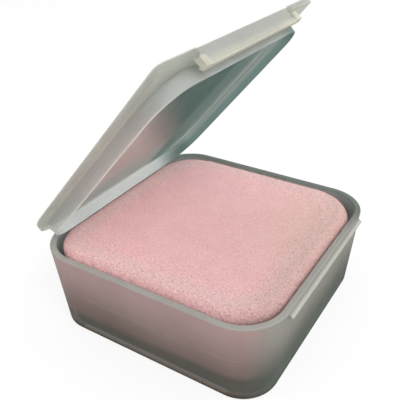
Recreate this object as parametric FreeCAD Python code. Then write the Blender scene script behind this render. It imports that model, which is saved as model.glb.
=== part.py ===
import FreeCAD, Part

import math
import os

# A small moulded plastic box with a living-hinge lid, a snap flap and a foam pad.
# Millimetres. X runs from the hinge to the catch, Y along the hinge and Z up.
# The origin is the middle of the face that the tray stands on.

# Tray
tray_top_side = 66.0
tray_bottom_side = 60.9
tray_height = 23.1
tray_top_corner = 11.4
rim_width = 1.65
wall_at_base = 1.5
floor_thickness = 1.6
foot_height = 1.4
foot_width = 2.2
foot_edge_round = 0.8
cavity_floor_round = 2.0
rim_edge_round = 0.35

# Catch ridge on the front wall
ridge_length = 43.8
ridge_reach = 0.9
ridge_below_rim = 0.75
ridge_ramp_height = 0.55
ridge_land = 0.3

# Living hinge and the ledge that carries it
hinge_length = 39.0
hinge_ledge_reach = 0.6
hinge_ledge_depth = 1.3
web_thickness = 0.3
web_leg = 0.3
lid_seat_gap = 0.25
lid_open_deg = 49.4

# Lid
plate_thickness = 1.6
plate_side_overhang = 0.45
plate_front_overhang = 2.8
plate_back_corner = 13.1
plate_front_corner = 1.9
plate_edge_round = 0.3
skirt_depth = 3.4
skirt_root_thickness = 0.8
skirt_lip_thickness = 0.65
skirt_clearance = 0.15
skirt_lip_round = 0.2

# Latch flap
flap_length = 43.6
flap_thickness = 0.8
flap_height = 2.95
flap_root_gap = 0.1
flap_ridge_clearance = 0.25
notch_length = 41.4
hook_engagement = 0.25
hook_play = 0.15
hook_nose_height = 0.2
lip_reach = 0.35
lip_height = 0.5
rib_width = 2.2
rib_reach = 0.8
rib_root_gap = 0.45

# Foam pad
pad_wall_clearance = 0.3
pad_hinge_set_back = 0.7
pad_rise = 0.6
pad_corner = 13.5
pad_top_round = 3.0
pad_bottom_chamfer = 2.2

# How far a cutting solid runs past the faces that it cuts
cut_margin = 1.0

# Places that follow from the driving sizes
floor_level = foot_height + floor_thickness
rim_level = tray_height
corner_centre = tray_top_side / 2 - tray_top_corner
plate_underside = rim_level + lid_seat_gap
plate_back_x = -(tray_top_side / 2 + hinge_ledge_reach)
plate_front_x = tray_top_side / 2 + plate_front_overhang
plate_half_width = tray_top_side / 2 + plate_side_overhang
hinge_x = plate_back_x - web_leg
hinge_z = rim_level + lid_seat_gap / 2
web_inner_radius = lid_seat_gap / 2
web_outer_radius = web_inner_radius + web_thickness
skirt_lip_z = plate_underside - skirt_depth
ridge_tip_x = tray_top_side / 2 + ridge_reach
ridge_top_z = rim_level - ridge_below_rim
ridge_tip_z = ridge_top_z - ridge_ramp_height
ridge_under_z = ridge_tip_z - ridge_land
flap_inner_x = ridge_tip_x + flap_ridge_clearance
flap_outer_x = flap_inner_x + flap_thickness
flap_bottom_z = plate_underside - flap_height
flex_x = flap_inner_x + flap_thickness / 2
flex_z = plate_underside - flap_root_gap - flap_thickness / 2


def along_height(z, at_foot, at_rim):
    """A size of the tray that changes evenly from the foot to the rim."""
    return at_foot + (at_rim - at_foot) * z / tray_height


def outer_half(z):
    """From the middle of the tray to the outside of its wall."""
    return along_height(z, tray_bottom_side / 2, tray_top_side / 2)


def inner_half(z):
    """From the middle of the tray to the inside of its wall."""
    return outer_half(z) - along_height(z, wall_at_base, rim_width)


def rounded_rectangle(x_low, x_high, half_width, corner, z):
    """A closed outline at height z: four sides joined by four corner arcs."""
    corners = [
        (x_high, -half_width, 1, -1),
        (x_high, half_width, 1, 1),
        (x_low, half_width, -1, 1),
        (x_low, -half_width, -1, -1),
    ]
    return rounded_outline([(x, y, sx, sy, corner) for x, y, sx, sy in corners], z)


def rounded_outline(corners, z):
    """An outline through corners of (x, y, outward sign in x, outward sign in y, radius)."""
    inset = 1 - math.sqrt(0.5)
    arcs = []
    for x, y, sx, sy, radius in corners:
        on_x_side = FreeCAD.Vector(x, y - sy * radius, z)
        on_y_side = FreeCAD.Vector(x - sx * radius, y, z)
        middle = FreeCAD.Vector(x - sx * radius * inset, y - sy * radius * inset, z)
        if sx == sy:
            arcs.append(Part.Arc(on_x_side, middle, on_y_side))
        else:
            arcs.append(Part.Arc(on_y_side, middle, on_x_side))
    edges = []
    for arc, following in zip(arcs, arcs[1:] + arcs[:1]):
        edges.append(arc.toShape())
        edges.append(Part.makeLine(arc.EndPoint, following.StartPoint))
    return Part.Wire(edges)


def tray_outline(half, z):
    """A square outline whose corners turn about the tray's own corner centres."""
    return rounded_rectangle(-half, half, half, half - corner_centre, z)


def loft(outlines):
    """A solid with straight walls through the outlines."""
    return Part.makeLoft(outlines, True, True)


def edges_at(shape, z):
    """The edges that lie in the level plane at height z."""
    near = 1e-4
    return [
        e for e in shape.Edges
        if all(abs(p.z - z) < near for p in e.discretize(3))
    ]


def bar(profile, length):
    """A solid bar along Y, centred on Y = 0, from a closed profile of (x, z) points and arcs.

    A point follows the last one by a straight edge. A pair of points is an arc through the
    first one to the second.
    """
    def at(point):
        return FreeCAD.Vector(point[0], -length / 2, point[1])

    here = profile[0]
    edges = []
    for step in profile[1:] + profile[:1]:
        if isinstance(step[0], tuple):
            edges.append(Part.Arc(at(here), at(step[0]), at(step[1])).toShape())
            here = step[1]
        else:
            edges.append(Part.makeLine(at(here), at(step)))
            here = step
    return Part.Face(Part.Wire(edges)).extrude(FreeCAD.Vector(0, length, 0))


def joined(first, *others):
    """One solid from pieces that are moulded together."""
    return first.fuse(list(others)).removeSplitter().Solids[0]


def open_lid(shape):
    """Turns a piece from its closed place about the hinge to where the lid stands open."""
    opened = shape.copy()
    opened.rotate(FreeCAD.Vector(hinge_x, 0, hinge_z), FreeCAD.Vector(0, -1, 0), lid_open_deg)
    return opened


def catch_ridge():
    """The wedge that the flap's hook snaps under."""
    root_x = outer_half(ridge_under_z) - rim_width / 2
    return bar(
        [
            (root_x, ridge_top_z),
            (outer_half(ridge_top_z), ridge_top_z),
            (ridge_tip_x, ridge_tip_z),
            (ridge_tip_x, ridge_under_z),
            (root_x, ridge_under_z),
        ],
        ridge_length,
    )


def hinge_ledge():
    """The narrow shelf outside the back wall, level with the rim, that the hinge web leaves from."""
    low_z = rim_level - hinge_ledge_depth
    root_x = rim_width / 2 - outer_half(low_z)
    return bar(
        [
            (root_x, rim_level),
            (plate_back_x, rim_level),
            (plate_back_x, hinge_z - web_outer_radius),
            (-outer_half(low_z), low_z),
            (root_x, low_z),
        ],
        hinge_length,
    )


def make_tray():
    body = loft([tray_outline(outer_half(z), z) for z in (0, rim_level)])
    body = body.makeFillet(foot_edge_round, edges_at(body, 0))
    cavity_levels = (floor_level, rim_level + cut_margin)
    cavity = loft([tray_outline(inner_half(z), z) for z in cavity_levels])
    cavity = cavity.makeFillet(cavity_floor_round, edges_at(cavity, floor_level))
    foot_inside = Part.Face(tray_outline(outer_half(0) - foot_width, 0))
    recess = foot_inside.extrude(FreeCAD.Vector(0, 0, foot_height))
    shell = body.cut([cavity, recess])
    shell = shell.makeFillet(rim_edge_round, edges_at(shell, rim_level))
    return joined(shell, catch_ridge(), hinge_ledge())


def lid_plate():
    """The flat plate: large corners at the hinge, small ones at the free edge and a notch over the flap."""
    outline = rounded_outline(
        [
            (plate_front_x, -plate_half_width, 1, -1, plate_front_corner),
            (plate_front_x, plate_half_width, 1, 1, plate_front_corner),
            (plate_back_x, plate_half_width, -1, 1, plate_back_corner),
            (plate_back_x, -plate_half_width, -1, -1, plate_back_corner),
        ],
        plate_underside,
    )
    plate = Part.Face(outline).extrude(FreeCAD.Vector(0, 0, plate_thickness))
    plate = plate.makeFillet(plate_edge_round, edges_at(plate, plate_underside + plate_thickness))
    notch = Part.makeBox(
        plate_front_x - flap_outer_x + cut_margin,
        notch_length,
        plate_thickness + 2 * cut_margin,
        FreeCAD.Vector(flap_outer_x, -notch_length / 2, plate_underside - cut_margin),
    )
    return plate.cut(notch)


def skirt_half(z, thickness):
    """From the middle of the closed lid to the skirt's outside, or its inside at that thickness."""
    return inner_half(z) - skirt_clearance - thickness


def lid_skirt():
    """The ring under the plate. Its outside follows the tray's inner walls at an even clearance."""
    lip, root = skirt_lip_z, plate_underside
    outside = loft([tray_outline(skirt_half(z, 0), z) for z in (lip, root)])
    inside = loft([
        tray_outline(skirt_half(lip, skirt_lip_thickness), lip),
        tray_outline(skirt_half(root, skirt_root_thickness), root),
    ])
    ring = outside.cut(inside)
    return ring.makeFillet(skirt_lip_round, edges_at(ring, lip))


def make_lid():
    return open_lid(joined(lid_plate(), lid_skirt()))


def make_living_hinge():
    """The web: two short legs joined by a bend that is round about the hinge's axis."""
    def polar(radius, degrees):
        angle = math.radians(degrees)
        return (hinge_x + radius * math.cos(angle), hinge_z + radius * math.sin(angle))

    def lid_leg_end(radius):
        """Where the leg along the open plate ends, at that distance from the axis's own line."""
        x, z = polar(radius, bend_end)
        angle = math.radians(lid_open_deg)
        return (x + web_leg * math.cos(angle), z + web_leg * math.sin(angle))

    bend_end = 90 + lid_open_deg
    bend_middle = (270 + bend_end) / 2
    return bar(
        [
            (plate_back_x, hinge_z - web_outer_radius),
            (hinge_x, hinge_z - web_outer_radius),
            (polar(web_outer_radius, bend_middle), polar(web_outer_radius, bend_end)),
            lid_leg_end(web_outer_radius),
            lid_leg_end(web_inner_radius),
            polar(web_inner_radius, bend_end),
            (polar(web_inner_radius, bend_middle), (hinge_x, hinge_z - web_inner_radius)),
            (plate_back_x, hinge_z - web_inner_radius),
        ],
        hinge_length,
    )


def make_latch_flap():
    """The snap flap: a round flexing root, a hook inside, a lifting lip outside and a rib at each end."""
    hook_top_z = ridge_under_z - hook_play
    hook_nose_x = ridge_tip_x - hook_engagement
    hook_low_z = hook_top_z - hook_nose_height
    lip_x = flap_outer_x + lip_reach
    lip_z = flap_bottom_z + lip_height
    strip = bar(
        [
            (flap_inner_x, flex_z),
            ((flex_x, flex_z + flap_thickness / 2), (flap_outer_x, flex_z)),
            (flap_outer_x, lip_z + lip_reach),
            (lip_x, lip_z),
            (lip_x, flap_bottom_z),
            (flap_inner_x, flap_bottom_z),
            (hook_nose_x, hook_low_z),
            (hook_nose_x, hook_top_z),
            (flap_inner_x, hook_top_z),
        ],
        flap_length,
    )
    rib_height = flap_height - rib_root_gap
    ribs = [
        Part.makeBox(
            flap_outer_x + rib_reach - flex_x,
            rib_width,
            rib_height,
            FreeCAD.Vector(flex_x, end_y, flap_bottom_z),
        )
        for end_y in (-flap_length / 2, flap_length / 2 - rib_width)
    ]
    return open_lid(joined(strip, *ribs))


def make_sponge():
    """The foam pad: it fills the tray, stands a little above the rim and gives way under the closing lid."""
    top_z = rim_level + pad_rise

    def outline(z, inset=0.0):
        reach = inner_half(z) - pad_wall_clearance - inset
        turn = pad_corner - inner_half(rim_level) + inner_half(z) - inset
        return rounded_rectangle(pad_hinge_set_back - reach, reach, reach, turn, z)

    pad = loft([
        outline(floor_level, pad_bottom_chamfer),
        outline(floor_level + pad_bottom_chamfer),
        outline(top_z),
    ])
    return pad.makeFillet(pad_top_round, edges_at(pad, top_z)).Solids[0]


pieces = {
    "tray": make_tray,
    "lid": make_lid,
    "living_hinge": make_living_hinge,
    "latch_flap": make_latch_flap,
    "sponge": make_sponge,
}

os.makedirs("parts", exist_ok=True)
for name, make in pieces.items():
    piece = make()
    piece.exportStep(os.path.join("parts", name + ".step"))
    print(name, piece.ShapeType, "valid", piece.isValid(), "volume %.1f mm3" % piece.Volume)
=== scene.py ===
import math

import bpy
import numpy as np
from mathutils import Matrix, Vector


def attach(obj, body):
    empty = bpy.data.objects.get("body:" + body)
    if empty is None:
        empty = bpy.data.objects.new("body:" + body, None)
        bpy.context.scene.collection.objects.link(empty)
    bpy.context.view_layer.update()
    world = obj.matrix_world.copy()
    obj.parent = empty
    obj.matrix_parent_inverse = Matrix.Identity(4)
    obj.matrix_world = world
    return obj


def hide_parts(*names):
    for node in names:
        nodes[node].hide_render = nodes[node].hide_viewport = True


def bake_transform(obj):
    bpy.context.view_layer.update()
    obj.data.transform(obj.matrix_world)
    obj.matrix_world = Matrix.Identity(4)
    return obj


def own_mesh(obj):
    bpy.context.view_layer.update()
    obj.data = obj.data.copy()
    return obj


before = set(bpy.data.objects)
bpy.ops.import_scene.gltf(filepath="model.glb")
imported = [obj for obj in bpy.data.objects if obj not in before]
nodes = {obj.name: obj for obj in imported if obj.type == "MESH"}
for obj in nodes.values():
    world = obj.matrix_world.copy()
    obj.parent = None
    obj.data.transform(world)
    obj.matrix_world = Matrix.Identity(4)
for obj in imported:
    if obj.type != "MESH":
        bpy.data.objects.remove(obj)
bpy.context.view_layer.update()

# Sizes in metres, repeated from the part's own values. The near side, which the camera faces, has negative y.
mm = 0.001
rim_level = 23.1 * mm
floor_level = 3.0 * mm
hinge_x = -33.9 * mm
hinge_z = 23.225 * mm
lid_open = math.radians(49.4)
plate_back_x = -33.6 * mm
plate_underside = 23.35 * mm
plate_thickness = 1.6 * mm
skirt_root = 30.6 * mm
corner_centre = 21.6 * mm
tray_half = 33.0 * mm
wall_draft = 0.104
flap_face_x = 34.95 * mm
notch_half = 20.7 * mm

# The frosted plastic. A low refraction keeps the pale floor's glare off the lid's slanting inner face.
plastic_ior = 1.04
plastic_cloud = 9 * mm
plastic_grain = 0.35 * mm
plastic_grain_depth = 0.03 * mm
gloss_patch = 4 * mm

# The foam pad
pad_top = 23.7 * mm
pad_half = 30.78 * mm
pad_back_x = -30.08 * mm
pad_corner = 13.2 * mm
pad_tight_corner = 10.4 * mm
pad_top_round = 3.0 * mm
pad_back_round = 1.8 * mm
back_shoulder_x = -20 * mm
shoulder_change = 6 * mm
pad_bottom_chamfer = 2.2 * mm
pore_spacing = 0.75 * mm
foam_grain = 0.4 * mm
foam_grain_depth = 0.16 * mm
pit_spacing = 0.9 * mm
pit_depth = 0.06 * mm
ragged_pit_depth = 0.4 * mm
dip_spacing = 4.5 * mm
dip_depth = 0.05 * mm

# The part of the pad that the closed lid's skirt comes down round
core_half = 30.05 * mm
core_back_x = -28.8 * mm
core_corner = 12.5 * mm
core_tight_corner = 9.7 * mm
edge_foot = 15.0 * mm

# The thin web of the hinge
hinge_half_length = 19.5 * mm
web_middle_radius = 0.275 * mm
web_thickness = 0.3 * mm
web_leg = 0.3 * mm

lamp_aim = (0, 0, 30 * mm)


def srgb(red, green, blue):
    """A colour given as it shows on screen, 0 to 255, as the linear values that a shader takes."""
    def linear(level):
        share = level / 255
        return share / 12.92 if share <= 0.04045 else ((share + 0.055) / 1.055) ** 2.4

    return (linear(red), linear(green), linear(blue), 1.0)


class Nodes:
    """A material's node tree, with a short way to add nodes and join them."""

    def __init__(self, name):
        self.material = bpy.data.materials.new(name)
        self.material.use_nodes = True
        self.tree = self.material.node_tree
        self.shader = self.tree.nodes["Principled BSDF"]
        self.object_coords = self.add("ShaderNodeTexCoord").outputs["Object"]

    def add(self, kind, **settings):
        node = self.tree.nodes.new(kind)
        for key, value in settings.items():
            setattr(node, key, value)
        return node

    def join(self, source, target):
        self.tree.links.new(source, target)

    def set_input(self, socket, value):
        if isinstance(value, bpy.types.NodeSocket):
            self.join(value, socket)
        else:
            socket.default_value = value

    def math(self, operation, first, second=0.0):
        node = self.add("ShaderNodeMath", operation=operation)
        self.set_input(node.inputs[0], first)
        self.set_input(node.inputs[1], second)
        return node.outputs[0]

    def plus(self, first, second):
        return self.math("ADD", first, second)

    def minus(self, first, second):
        return self.math("SUBTRACT", first, second)

    def times(self, first, second):
        return self.math("MULTIPLY", first, second)

    def larger(self, first, second):
        return self.math("MAXIMUM", first, second)

    def size_of(self, value):
        return self.math("ABSOLUTE", value)

    def between(self, value, low, high):
        """0 at low and before it, 1 at high and past it, and smooth in between. High may be the smaller."""
        node = self.add("ShaderNodeMapRange", interpolation_type="SMOOTHSTEP")
        self.set_input(node.inputs["Value"], value)
        node.inputs["From Min"].default_value = low
        node.inputs["From Max"].default_value = high
        return node.outputs["Result"]

    def stretch(self, value, low, high):
        """A number that runs from 0 to 1, made to run from low to high."""
        node = self.add("ShaderNodeMapRange")
        self.join(value, node.inputs["Value"])
        node.inputs["To Min"].default_value = low
        node.inputs["To Max"].default_value = high
        return node.outputs["Result"]

    def mix(self, share, first, second):
        """The first colour at a share of 0 and the second at 1."""
        node = self.add("ShaderNodeMix", data_type="RGBA", clamp_factor=True)
        self.set_input(node.inputs["Factor"], share)
        self.set_input(node.inputs[6], first)
        self.set_input(node.inputs[7], second)
        return node.outputs[2]

    def multiply(self, colour, level):
        """The colour made darker or lighter by a number that varies over the surface."""
        node = self.add("ShaderNodeMix", data_type="RGBA", blend_type="MULTIPLY")
        node.inputs["Factor"].default_value = 1.0
        self.set_input(node.inputs[6], colour)
        self.set_input(node.inputs[7], level)
        return node.outputs[2]

    def noise(self, size, detail):
        """Noise from 0 to 1 whose features are about that size, in metres."""
        node = self.add("ShaderNodeTexNoise")
        node.inputs["Scale"].default_value = 1 / size
        node.inputs["Detail"].default_value = detail
        self.join(self.object_coords, node.inputs["Vector"])
        return node.outputs["Fac"]

    def axes(self, coords):
        node = self.add("ShaderNodeSeparateXYZ")
        self.join(coords, node.inputs[0])
        return node.outputs

    def bump(self, height, depth, strength):
        node = self.add("ShaderNodeBump")
        node.inputs["Strength"].default_value = strength
        node.inputs["Distance"].default_value = depth
        self.join(height, node.inputs["Height"])
        self.join(node.outputs[0], self.shader.inputs["Normal"])


def closed_lid_coords(tree):
    """Coordinates in which the lid lies closed: x from the hinge's axis, z up from it."""
    to_axis = tree.add("ShaderNodeVectorMath", operation="SUBTRACT")
    tree.join(tree.object_coords, to_axis.inputs[0])
    to_axis.inputs[1].default_value = (hinge_x, 0, hinge_z)
    turn = tree.add("ShaderNodeVectorRotate", rotation_type="Y_AXIS")
    tree.join(to_axis.outputs[0], turn.inputs["Vector"])
    turn.inputs["Angle"].default_value = lid_open
    return turn.outputs[0]


def finish_plastic(tree, colour, roughness, clear):
    """The frosted skin of all the plastic: cloudy, finely grained, unevenly glossy and partly clear."""
    shader = tree.shader
    tree.set_input(shader.inputs["Transmission Weight"], clear)
    shader.inputs["IOR"].default_value = plastic_ior
    cloud = tree.between(tree.noise(plastic_cloud, 4.0), 0.25, 0.75)
    fine = tree.noise(plastic_grain, 3.0)
    shade = tree.times(tree.stretch(cloud, 0.95, 1.04), tree.stretch(fine, 0.88, 1.12))
    tree.join(tree.multiply(colour, shade), shader.inputs["Base Color"])
    gloss = tree.stretch(tree.noise(gloss_patch, 3.0), roughness - 0.06, roughness + 0.08)
    tree.join(gloss, shader.inputs["Roughness"])
    tree.bump(fine, plastic_grain_depth, 0.5)


def tray_wall(tree, x, y, z):
    """The tray's wall: pink where the foam shows through, darker lower down and at the foot as painted shade,
    and greyer by the catch and hinge, by the catch as painted shade.
    """
    wobble = tree.times(tree.minus(tree.noise(14 * mm, 3.0), 0.5), 4 * mm)
    cloudy_height = tree.plus(z, wobble)
    # Painted shade: the wall darkens towards the bottom, where the foam's unlit side shows through.
    wall = tree.mix(tree.between(cloudy_height, 4 * mm, 23 * mm), srgb(137, 121, 114), srgb(201, 173, 170))
    # Painted shade: a dark band at the foot, reaching higher towards the catch.
    foot = tree.mix(tree.between(z, 0.8 * mm, 2.6 * mm), srgb(86, 72, 62), srgb(106, 104, 97))
    foot_height = tree.minus(tree.plus(z, tree.times(wobble, 0.15)), tree.times(x, 0.03))
    colour = tree.mix(tree.between(foot_height, 5.0 * mm, 7.8 * mm), foot, wall)

    # Greyer and darker low down by the catch and hinge; by the catch this is painted shade.
    grey = tree.mix(tree.between(z, 2 * mm, 21 * mm), srgb(92, 100, 93), srgb(170, 172, 162))
    at_rim_x = tree.plus(x, tree.times(tree.minus(rim_level, z), wall_draft))
    by_catch = tree.between(at_rim_x, 27.2 * mm, 32.8 * mm)
    by_hinge = tree.between(x, -28 * mm, -32 * mm)
    colour = tree.mix(tree.times(tree.larger(by_catch, by_hinge), 0.85), colour, grey)

    # One faint light line, broken here and there, along the near wall
    line_height = tree.plus(tree.times(x, 0.02), 12.6 * mm)
    off_line = tree.size_of(tree.minus(z, line_height))
    on_near_wall = tree.between(y, -28 * mm, -30 * mm)
    broken = tree.times(tree.between(tree.noise(7 * mm, 2.0), 0.4, 0.65), on_near_wall)
    light_line = tree.times(tree.between(off_line, 0.16 * mm, 0.05 * mm), broken)
    return tree.mix(tree.times(light_line, 0.5), colour, srgb(214, 196, 184))


def tray_plastic():
    """Frosted plastic: a tinted wall, a greyer inside that darkens lower down as painted shade, a rim darker
    on its far side and a pale ridge.
    """
    tree = Nodes("tray_plastic")
    x, y, z = tree.axes(tree.object_coords)
    colour = tray_wall(tree, x, y, z)
    outward = tree.add("ShaderNodeVectorMath", operation="DOT_PRODUCT")
    tree.join(tree.add("ShaderNodeTexCoord").outputs["Normal"], outward.inputs[0])
    tree.join(tree.object_coords, outward.inputs[1])
    facing_in = tree.between(tree.times(outward.outputs["Value"], -1.0), 2 * mm, 8 * mm)
    # Painted shade: the inside darkens lower down, in the narrow gap by the foam.
    inside = tree.mix(tree.between(z, 10 * mm, 22 * mm), srgb(120, 130, 127), srgb(156, 163, 159))
    colour = tree.mix(facing_in, colour, inside)
    on_rim = tree.between(z, rim_level - 0.6 * mm, rim_level - 0.15 * mm)
    rim = tree.mix(tree.between(y, 10 * mm, 26 * mm), srgb(180, 178, 172), srgb(128, 136, 130))
    colour = tree.mix(on_rim, colour, rim)
    on_ridge = tree.between(x, tray_half + 0.15 * mm, tray_half + 0.45 * mm)
    colour = tree.mix(on_ridge, colour, srgb(202, 201, 192))
    finish_plastic(tree, colour, 0.42, 0.35)
    return tree.material


def lid_skirt(tree, across, up, lip, by_hinge, by_flap):
    """The lid's skirt: whiter by the hinge as painted light, a cream painted highlight along its lip, greyer
    by the flap and a darker teal on its far side.
    """
    from_lip = tree.between(up, -3.3 * mm, -0.3 * mm)
    skirt = tree.mix(from_lip, srgb(227, 227, 224), srgb(208, 213, 211))
    # Painted highlight: a cream line along the lip's rounded edge.
    skirt = tree.mix(tree.times(lip, 0.8), skirt, srgb(248, 244, 234))
    skirt = tree.mix(by_flap, skirt, srgb(196, 200, 196))
    # Painted light: the hinge end of the skirt, which lies in the lid's own shade, made whiter.
    skirt = tree.mix(by_hinge, skirt, srgb(238, 242, 241))
    far = tree.mix(tree.between(up, -1.9 * mm, -0.4 * mm), srgb(122, 145, 140), srgb(158, 170, 166))
    return tree.mix(tree.between(across, 16 * mm, 27 * mm), skirt, far)


def lid_panel(tree, along, across):
    """The panel's inner face, in painted reflections: dark teal, a pink reflection of the foam by the hinge's
    near end, a pale band by the hinge and paler bands towards the far side.
    """
    # Painted reflection: dark teal standing in for dark surroundings mirrored in the panel.
    dusky = tree.between(tree.noise(18 * mm, 3.0), 0.3, 0.7)
    panel = tree.mix(dusky, srgb(62, 94, 87), srgb(72, 103, 96))
    # Painted reflection of the pink foam, soft-edged, by the hinge's near end.
    uneven = tree.times(tree.noise(16 * mm, 3.0), 6 * mm)
    from_near_end = tree.plus(tree.plus(along, across), uneven)
    panel = tree.mix(tree.between(from_near_end, 46 * mm, 20 * mm), panel, srgb(216, 196, 194))
    # Painted reflection of the tray's rim: a pale band by the hinge.
    panel = tree.mix(tree.between(along, 20 * mm, 12 * mm), panel, srgb(190, 192, 190))
    # Lighter bands towards the far side; the outer one is painted light at the skirt's root.
    panel = tree.mix(tree.between(across, 11 * mm, 17 * mm), panel, srgb(111, 139, 135))
    return tree.mix(tree.between(across, 23 * mm, 29 * mm), panel, srgb(152, 166, 162))


def rounded_reach(tree, along, across):
    """How far out a point of the lid lies, measured square to the sides and round the corners."""
    over_x = tree.minus(tree.size_of(tree.plus(along, hinge_x)), corner_centre)
    over_y = tree.minus(tree.size_of(across), corner_centre)
    over_x = tree.larger(over_x, 0.0)
    over_y = tree.larger(over_y, 0.0)
    squares = tree.plus(tree.times(over_x, over_x), tree.times(over_y, over_y))
    return tree.plus(tree.math("SQRT", squares), corner_centre)


def lid_plastic():
    """Clearer plastic: frosted pale outside, grey edges, the skirt, and the panel on the inner face alone."""
    tree = Nodes("lid_plastic")
    along, across, up = tree.axes(closed_lid_coords(tree))
    outside = tree.between(up, plate_thickness - 0.4 * mm, plate_thickness)
    below = tree.between(up, 0.02 * mm, -0.1 * mm)
    lip = tree.between(up, -2.95 * mm, -3.15 * mm)
    by_hinge = tree.between(along, 9 * mm, 5 * mm)
    by_flap = tree.between(along, 56 * mm, 66 * mm)

    milky = tree.between(tree.noise(16 * mm, 3.0), 0.3, 0.7)
    edge = tree.mix(milky, srgb(200, 203, 193), srgb(212, 213, 203))
    colour = tree.mix(outside, edge, srgb(214, 216, 210))
    colour = tree.mix(below, colour, lid_skirt(tree, across, up, lip, by_hinge, by_flap))
    on_inner_face = tree.times(tree.between(up, -0.25 * mm, -0.05 * mm), tree.between(up, 0.5 * mm, 0.3 * mm))
    reach = rounded_reach(tree, along, across)
    in_panel = tree.times(on_inner_face, tree.between(reach, skirt_root + 0.4 * mm, skirt_root))
    # The panel's painted reflections go on the inner face alone.
    colour = tree.mix(in_panel, colour, lid_panel(tree, along, across))

    # The lip with its painted highlight, the hinge end with its painted light and the flap end are made less
    # clear.
    white_skirt = tree.larger(lip, tree.larger(by_hinge, by_flap))
    dense = tree.larger(outside, tree.times(below, white_skirt))
    finish_plastic(tree, colour, 0.32, tree.minus(0.8, tree.times(dense, 0.45)))
    return tree.material


def flap_plastic():
    """The pale flap, greyer over its bend, with a cream painted highlight at its thick ends and along its
    lifting lip.
    """
    tree = Nodes("flap_plastic")
    _, across, up = tree.axes(closed_lid_coords(tree))
    # Painted highlight: cream at the flap's ends and along its lower lip.
    ends = tree.between(tree.size_of(across), 19.0 * mm, 20.2 * mm)
    low = tree.between(up, -0.4 * mm, -2.2 * mm)
    colour = tree.mix(tree.larger(ends, low), srgb(200, 202, 196), srgb(225, 224, 212))
    finish_plastic(tree, colour, 0.4, 0.5)
    return tree.material


def hinge_plastic():
    """The plain frosted plastic of the hinge's web."""
    tree = Nodes("hinge_plastic")
    finish_plastic(tree, srgb(176, 177, 168), 0.4, 0.5)
    return tree.material


def foam_tint(tree, x, y, edge):
    """The foam's colour between its pores: pink, warmer by the catch, paler near the edge, and deeper at its
    side as painted shade.
    """
    mottle = tree.between(tree.noise(6 * mm, 4.0), 0.3, 0.7)
    colour = tree.mix(mottle, srgb(231, 182, 184), srgb(234, 187, 187))
    warm = tree.times(tree.between(x, 0.0, 30 * mm), tree.between(y, -26 * mm, 12 * mm))
    colour = tree.mix(tree.times(warm, 0.8), colour, srgb(219, 184, 173))
    pale_edge = tree.times(tree.between(edge, 9.0 * mm, 4.0 * mm), 0.75)
    colour = tree.mix(pale_edge, colour, srgb(221, 188, 185))
    # Painted shade: deeper pink on the pad's rounded side.
    side = tree.between(edge, 4.0 * mm, 0.3 * mm)
    colour = tree.mix(side, colour, srgb(209, 164, 164))
    by_catch = tree.times(tree.between(x, 19 * mm, 30 * mm), 0.5)
    return tree.mix(by_catch, colour, srgb(196, 166, 156))


def foam_material():
    """Open-cell foam with small pores darkened as painted shade and a grain, both of them coarser towards the
    edge, and paler towards the hinge as painted light.
    """
    tree = Nodes("foam")
    x, y, _ = tree.axes(tree.object_coords)
    edge = tree.add("ShaderNodeAttribute", attribute_name="edge").outputs["Fac"]
    edge = tree.plus(edge, tree.times(tree.noise(2.5 * mm, 3.0), 0.8 * mm))
    coarse = tree.between(edge, 14 * mm, 5 * mm)
    pores = tree.add("ShaderNodeTexVoronoi")
    pores.inputs["Scale"].default_value = 1 / pore_spacing
    tree.join(tree.object_coords, pores.inputs["Vector"])
    # Painted shade: the pores are darkened.
    pore = tree.between(pores.outputs["Distance"], 0.34, 0.14)
    pore = tree.times(pore, tree.plus(tree.times(coarse, 0.3), 0.25))
    colour = tree.mix(pore, foam_tint(tree, x, y, edge), srgb(190, 116, 126))
    fine = tree.noise(foam_grain, 4.0)
    grain = tree.times(tree.minus(fine, 0.5), tree.plus(tree.times(coarse, 0.35), 0.6))
    # Painted light: paler towards the hinge and the far side, offsetting the lid's shade and the key lamp's
    # falloff.
    paler_to_hinge = tree.times(tree.minus(y, x), 0.0027 / mm)
    level = tree.plus(tree.plus(grain, paler_to_hinge), 1.0)
    tree.join(tree.multiply(colour, level), tree.shader.inputs["Base Color"])
    tree.shader.inputs["Roughness"].default_value = 0.95
    tree.shader.inputs["Specular IOR Level"].default_value = 0.15
    tree.shader.inputs["Sheen Weight"].default_value = 0.1
    tree.bump(fine, foam_grain_depth, 0.7)
    return tree.material


def corner_size(square, wide, tight):
    """The corner radius at each point of a square: tight at the hinge's near end, where the pad is fuller."""
    at_near_end = (square[:, 0] < 0) & (square[:, 1] < 0)
    return np.where(at_near_end, tight, wide)[:, None]


def rounded_outline(count, low_x, high_x, half_y, wide, tight):
    """Points round a rounded rectangle, in step with points along a square's edge, and outward directions."""
    middle_x = (low_x + high_x) / 2
    half_x = (high_x - low_x) / 2
    side = np.linspace(-1, 1, count, endpoint=False)
    one = np.ones(count)
    square = np.concatenate([
        np.stack([side, -one], 1),
        np.stack([one, side], 1),
        np.stack([-side, one], 1),
        np.stack([-one, -side], 1),
    ])
    corner = corner_size(square, wide, tight)
    inner = np.array([half_x, half_y]) - corner
    on_box = square * np.array([half_x, half_y])
    core = np.clip(on_box, -inner, inner)
    away = on_box - core
    away /= np.linalg.norm(away, axis=1, keepdims=True)
    points = core + away * corner + np.array([middle_x, 0])
    return points, away


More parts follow.
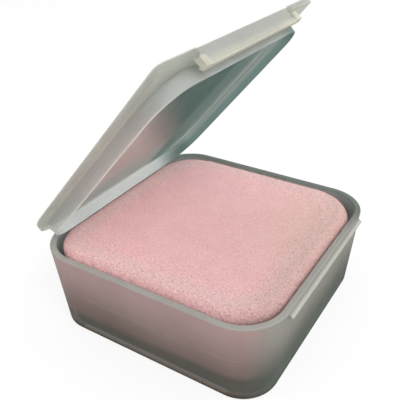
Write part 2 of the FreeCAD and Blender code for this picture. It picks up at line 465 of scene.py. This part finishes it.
def pit_field(points, rng, spacing, smallest, largest):
    """How deep in a pore each point lies, 0 to 1, for pores scattered over a jittered grid."""
    low = points.min(0) - 2 * spacing
    cells = np.floor((points - low) / spacing).astype(int)
    size = cells.max(0) + 3
    jitter = rng.random((size[0], size[1], 2))
    radius = smallest + (largest - smallest) * rng.random((size[0], size[1])) ** 2
    depth = np.zeros(len(points))
    for step_x in (-1, 0, 1):
        for step_y in (-1, 0, 1):
            cx = np.clip(cells[:, 0] + step_x, 0, size[0] - 1)
            cy = np.clip(cells[:, 1] + step_y, 0, size[1] - 1)
            centre = low + (np.stack([cx, cy], 1) + jitter[cx, cy]) * spacing
            far = np.linalg.norm(points - centre, axis=1) / radius[cx, cy]
            depth = np.maximum(depth, np.clip(1 - far ** 2, 0, 1))
    return depth


def mesh_object(name, vertices, faces, material):
    """A smooth-shaded object made of the given faces."""
    mesh = bpy.data.meshes.new(name)
    mesh.from_pydata([tuple(v) for v in vertices], [], faces)
    mesh.validate()
    mesh.update()
    mesh.materials.append(material)
    mesh.shade_smooth()
    piece = bpy.data.objects.new(name, mesh)
    bpy.context.scene.collection.objects.link(piece)
    return piece


def inside_distance(points):
    """How far inside the pad's widest outline each point lies."""
    middle = np.array([(pad_back_x + pad_half) / 2, 0])
    corner = corner_size(points - middle, pad_corner, pad_tight_corner)
    over = np.abs(points - middle) - (np.array([(pad_half - pad_back_x) / 2, pad_half]) - corner)
    outside = np.linalg.norm(np.maximum(over, 0), axis=1)
    return corner[:, 0] - outside - np.minimum(over.max(1), 0)


def pad_surface(points, rng):
    """Heights of the pad's upper face: flat, with a round shoulder, shallow pores and wide dips."""
    edge = np.clip(inside_distance(points), 0, None)
    by_hinge = np.clip((back_shoulder_x - points[:, 0]) / shoulder_change, 0, 1)
    shoulder = pad_top_round + (pad_back_round - pad_top_round) * by_hinge
    short = np.clip(shoulder - edge, 0, shoulder)
    height = pad_top - shoulder + np.sqrt(shoulder ** 2 - short ** 2)
    pores = pit_field(points, rng, pit_spacing, smallest=0.2 * mm, largest=0.5 * mm)
    dips = pit_field(points, rng, dip_spacing, smallest=2.0 * mm, largest=4.0 * mm)
    ragged = np.clip(short / shoulder, 0, 1)
    sunk = pores * (pit_depth + ragged_pit_depth * ragged) + dips * dip_depth
    return height - sunk


def band_faces(loop, below):
    """The faces between a loop of vertices and the loop of as many that follows it."""
    corners = zip(loop, below, np.roll(below, -1), np.roll(loop, -1))
    return [tuple(int(i) for i in corner) for corner in corners]


def add_rings(vertices, faces, loop, rings):
    """Adds rings of points and joins each to the loop before it. Returns the last ring's vertices."""
    for ring in rings:
        start = sum(len(v) for v in vertices)
        vertices.append(ring)
        below = np.arange(start, start + len(ring))
        if loop is not None:
            faces += band_faces(loop, below)
        loop = below
    return loop


def level_ring(points, z):
    """A ring of points at one height, or at a height for each."""
    return np.column_stack([points, np.broadcast_to(z, len(points))])


def foam_piece(name, vertices, faces, material):
    """A piece of the pad that knows its distance from the edge and is fixed to the tray."""
    vertices = np.concatenate(vertices)
    piece = mesh_object(name, vertices, faces, material)
    piece.data.set_sharp_from_angle(angle=math.radians(35))
    edge = piece.data.attributes.new("edge", "FLOAT", "POINT")
    deep = np.clip(pad_top - pad_top_round - vertices[:, 2], 0, None)
    distance = np.clip(inside_distance(vertices[:, :2]), 0, None) - deep
    edge.data.foreach_set("value", distance.astype(np.float32))
    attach(piece, "tray")
    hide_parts("sponge")
    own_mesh(piece)


def core_top(count):
    """Points of the core's top: a square grid whose outer lines bend to the round corners."""
    middle = np.array([(core_back_x + core_half) / 2, 0])
    reach = np.array([(core_half - core_back_x) / 2, core_half])
    line = np.linspace(-1, 1, count + 1)
    grid_x, grid_y = np.meshgrid(line, line, indexing="ij")
    square = np.stack([grid_x.ravel(), grid_y.ravel()], 1)
    border = np.abs(square).max(1)
    corner = corner_size(square, core_corner, core_tight_corner)
    inner = reach - corner
    on_box = square / np.maximum(border, 1e-9)[:, None] * reach
    corner_core = np.clip(on_box, -inner, inner)
    out = on_box - corner_core
    length = np.maximum(np.linalg.norm(out, axis=1, keepdims=True), 1e-9)
    on_round = corner_core + out / length * corner
    bend = (border ** 5)[:, None]
    return middle + border[:, None] * (on_box * (1 - bend) + on_round * bend)


def make_foam():
    """The foam pad, as a core that the lid's plate presses and an edge that its skirt presses further."""
    rng = np.random.default_rng(7)
    material = foam_material()
    count = 190
    core, _ = rounded_outline(count, core_back_x, core_half, core_half, core_corner, core_tight_corner)
    outer, outer_away = rounded_outline(count, pad_back_x, pad_half, pad_half, pad_corner, pad_tight_corner)
    top = core_top(count)
    widest = pad_top - pad_top_round

    def along_wall(z, inset=0.0):
        """A ring of the pad where it follows the tray's drafted wall."""
        return level_ring(outer - outer_away * ((widest - z) * wall_draft + inset), z)

    # Heights for the core's top and the edge's rings come from one field, so the two meet
    rows = [core + (outer - core) * share for share in (0.0, 0.2, 0.4, 0.6, 0.8, 0.93, 1.0)]
    heights = pad_surface(np.concatenate([top] + rows), rng)
    top_z = heights[:len(top)]
    row_z = heights[len(top):].reshape(len(rows), -1)

    # The core: its top, and sides that step out below the edge to the tray's wall
    index = np.arange((count + 1) ** 2).reshape(count + 1, count + 1)
    faces = [
        (int(index[i, j]), int(index[i + 1, j]), int(index[i + 1, j + 1]), int(index[i, j + 1]))
        for i in range(count) for j in range(count)
    ]
    loop = np.concatenate([index[:-1, 0], index[-1, :-1], index[:0:-1, -1], index[0, :0:-1]])
    vertices = [np.column_stack([top, top_z])]
    sides = [level_ring(core, z) for z in np.linspace(widest, edge_foot, 4)]
    sides += [along_wall(z) for z in np.linspace(edge_foot - 2 * mm, floor_level + pad_bottom_chamfer, 4)]
    sides.append(along_wall(floor_level, pad_bottom_chamfer))
    last = add_rings(vertices, faces, loop, sides)
    faces.append(tuple(int(i) for i in last[::-1]))
    foam_piece("foam_pad", vertices, faces, material)

    # The edge: up inside along the core, out over the shoulder and down the tray's wall
    rings = [level_ring(core, edge_foot)]
    rings += [level_ring(flat, z) for flat, z in zip(rows, row_z)]
    rings += [along_wall(z) for z in np.linspace(widest - 1 * mm, edge_foot, 4)]
    vertices = []
    faces = []
    last = add_rings(vertices, faces, None, rings)
    faces += band_faces(last, np.arange(len(core)))
    foam_piece("foam_edge", vertices, faces, material)


def swept_faces(size, rows):
    """The faces of a closed section of that many points, repeated in rows and capped at both ends."""
    faces = []
    for row in range(rows - 1):
        for i in range(size):
            j = (i + 1) % size
            faces.append((row * size + i, row * size + j, (row + 1) * size + j, (row + 1) * size + i))
    faces.append(tuple(range(size))[::-1])
    faces.append(tuple(range((rows - 1) * size, rows * size)))
    return faces


def hinge_film():
    """The thin web between the tray's ledge and the lid's back edge, bent round the hinge's axis."""
    bend_end = math.pi / 2 + lid_open
    path = [(plate_back_x - hinge_x, -web_middle_radius)]
    for angle in np.linspace(1.5 * math.pi, bend_end, 15):
        path.append((web_middle_radius * math.cos(angle), web_middle_radius * math.sin(angle)))
    last_x, last_z = path[-1]
    path.append((last_x + web_leg * math.cos(lid_open), last_z + web_leg * math.sin(lid_open)))
    path = np.array(path)
    along = np.gradient(path, axis=0)
    along /= np.linalg.norm(along, axis=1, keepdims=True)
    across = np.stack([-along[:, 1], along[:, 0]], 1) * web_thickness / 2
    section = np.concatenate([path + across, (path - across)[::-1]])
    stations = np.linspace(-hinge_half_length, hinge_half_length, 40)
    vertices = [(hinge_x + x, y, hinge_z + z) for y in stations for x, z in section]
    faces = swept_faces(len(section), len(stations))
    film = mesh_object("hinge_film", vertices, faces, hinge_plastic())
    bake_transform(film)
    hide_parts("living_hinge")


def flap_film(material):
    """The thin skin from the plate's notch edge down over the flap's bend, so that the two look like one."""
    skin = 0.06 * mm
    taper = 0.9 * mm
    top = plate_underside + plate_thickness - 0.15 * mm
    foot = plate_underside - 1.5 * mm
    levels = np.linspace(foot, top, 24)
    half = notch_half - 0.15 * mm
    stations = np.linspace(-half, half, 30)

    def opened(x, y, z):
        """A point of the closed lid, turned open about the hinge."""
        along = x - hinge_x
        up = z - hinge_z
        return (
            hinge_x + along * math.cos(lid_open) - up * math.sin(lid_open),
            y,
            hinge_z + along * math.sin(lid_open) + up * math.cos(lid_open),
        )

    outer = [(flap_face_x + skin * min(1.0, (z - foot) / taper), z) for z in levels]
    section = outer + [(flap_face_x - skin, z) for z in levels[::-1]]
    vertices = [opened(x, y, z) for y in stations for x, z in section]
    film = mesh_object("flap_film", vertices, swept_faces(len(section), len(stations)), material)
    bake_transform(film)


def dress(node, material, bevel):
    """Gives a solid its material and a fine round on its sharp edges."""
    piece = nodes[node]
    piece.data.materials.clear()
    piece.data.materials.append(material)
    rounding = piece.modifiers.new("edge_round", "BEVEL")
    rounding.width = bevel
    rounding.segments = 2
    rounding.limit_method = "ANGLE"
    rounding.angle_limit = math.radians(50)
    rounding.harden_normals = True


def backdrop_material():
    """Pale floor that stays white to the eye and in reflections and keeps a soft shadow."""
    seen_white = (0.95, 0.95, 0.95, 1)
    unseen_grey = (0.5, 0.5, 0.5, 1)
    glow_share = 0.78
    material = bpy.data.materials.new("studio_floor")
    material.use_nodes = True
    tree = material.node_tree
    tree.nodes.clear()
    output = tree.nodes.new("ShaderNodeOutputMaterial")
    diffuse = tree.nodes.new("ShaderNodeBsdfDiffuse")
    glow = tree.nodes.new("ShaderNodeEmission")
    mix = tree.nodes.new("ShaderNodeMixShader")
    seen = seen_directly(tree)
    paint = tree.nodes.new("ShaderNodeMix")
    paint.data_type = "RGBA"
    paint.inputs[6].default_value = unseen_grey
    paint.inputs[7].default_value = seen_white
    tree.links.new(seen, paint.inputs["Factor"])
    tree.links.new(paint.outputs[2], diffuse.inputs["Color"])
    share = tree.nodes.new("ShaderNodeMath")
    share.operation = "MULTIPLY"
    share.inputs[1].default_value = glow_share
    tree.links.new(seen, share.inputs[0])
    tree.links.new(share.outputs[0], mix.inputs[0])
    tree.links.new(diffuse.outputs[0], mix.inputs[1])
    tree.links.new(glow.outputs[0], mix.inputs[2])
    tree.links.new(mix.outputs[0], output.inputs["Surface"])
    return material


def seen_directly(tree):
    """1 for rays from the camera, in a reflection or through clear plastic, and 0 for the rest."""
    path = tree.nodes.new("ShaderNodeLightPath")
    first = tree.nodes.new("ShaderNodeMath")
    first.operation = "MAXIMUM"
    tree.links.new(path.outputs["Is Camera Ray"], first.inputs[0])
    tree.links.new(path.outputs["Is Glossy Ray"], first.inputs[1])
    second = tree.nodes.new("ShaderNodeMath")
    second.operation = "MAXIMUM"
    tree.links.new(first.outputs[0], second.inputs[0])
    tree.links.new(path.outputs["Is Transmission Ray"], second.inputs[1])
    return second.outputs[0]


def make_stage():
    """The floor, and a world that looks white and lights the part more softly than that."""
    bpy.ops.mesh.primitive_plane_add(size=6.0, location=(0, 0, 0))
    floor = bpy.context.object
    floor.name = "studio_floor"
    floor.data.materials.append(backdrop_material())

    world = bpy.data.worlds.new("studio")
    bpy.context.scene.world = world
    world.use_nodes = True
    tree = world.node_tree
    background = tree.nodes["Background"]
    ambient = 0.63
    strength = tree.nodes.new("ShaderNodeMapRange")
    strength.inputs["To Min"].default_value = ambient
    strength.inputs["To Max"].default_value = 1.0
    tree.links.new(seen_directly(tree), strength.inputs["Value"])
    tree.links.new(strength.outputs[0], background.inputs["Strength"])
    background.inputs["Color"].default_value = (1, 1, 1, 1)


def add_lamp(name, place, size, watts):
    """A round soft lamp that is turned to the middle of the part."""
    lamp = bpy.data.lights.new(name, "AREA")
    lamp.shape = "DISK"
    lamp.size = size
    lamp.energy = watts
    piece = bpy.data.objects.new(name, lamp)
    piece.location = place
    piece.rotation_euler = (Vector(lamp_aim) - Vector(place)).to_track_quat("-Z", "Y").to_euler()
    bpy.context.scene.collection.objects.link(piece)


def make_camera():
    """The photograph's view: from the right front and above, with the frame shifted off the axis."""
    picture = 400
    focal_pixels = 586.56
    centre_x, centre_y = 219.92, 154.96
    azimuth, elevation, roll = (math.radians(a) for a in (31.306, 26.444, -0.638))
    distance = 146.136 * mm
    target = Vector((2.758, 0, 43.430)) * mm
    back = Vector((
        math.sin(azimuth) * math.cos(elevation),
        -math.cos(azimuth) * math.cos(elevation),
        math.sin(elevation),
    ))
    level_right = Vector((math.cos(azimuth), math.sin(azimuth), 0))
    level_up = back.cross(level_right)
    right = level_right * math.cos(roll) + level_up * math.sin(roll)
    up = level_up * math.cos(roll) - level_right * math.sin(roll)
    camera = bpy.data.cameras.new("camera")
    camera.sensor_width = 36.0
    camera.lens = focal_pixels / picture * camera.sensor_width
    camera.shift_x = (picture / 2 - centre_x) / picture
    camera.shift_y = (centre_y - picture / 2) / picture
    camera.clip_start = 0.005
    piece = bpy.data.objects.new("camera", camera)
    piece.matrix_world = Matrix((
        (right.x, up.x, back.x, target.x + back.x * distance),
        (right.y, up.y, back.y, target.y + back.y * distance),
        (right.z, up.z, back.z, target.z + back.z * distance),
        (0, 0, 0, 1),
    ))
    bpy.context.scene.collection.objects.link(piece)
    bpy.context.scene.camera = piece


make_camera()
make_stage()
add_lamp("key", (0.75, -0.62, 0.90), size=1.0, watts=10.0)
add_lamp("back", (0.80, 0.70, 0.80), size=1.0, watts=5.0)
add_lamp("left", (-0.42, -0.30, 0.32), size=0.4, watts=0.8)

dress("tray", tray_plastic(), 0.12 * mm)
dress("lid", lid_plastic(), 0.12 * mm)
flap_look = flap_plastic()
dress("latch_flap", flap_look, 0.1 * mm)
make_foam()
hinge_film()
flap_film(flap_look)

bpy.context.scene.view_settings.view_transform = "Standard"
bpy.context.view_layer.update()
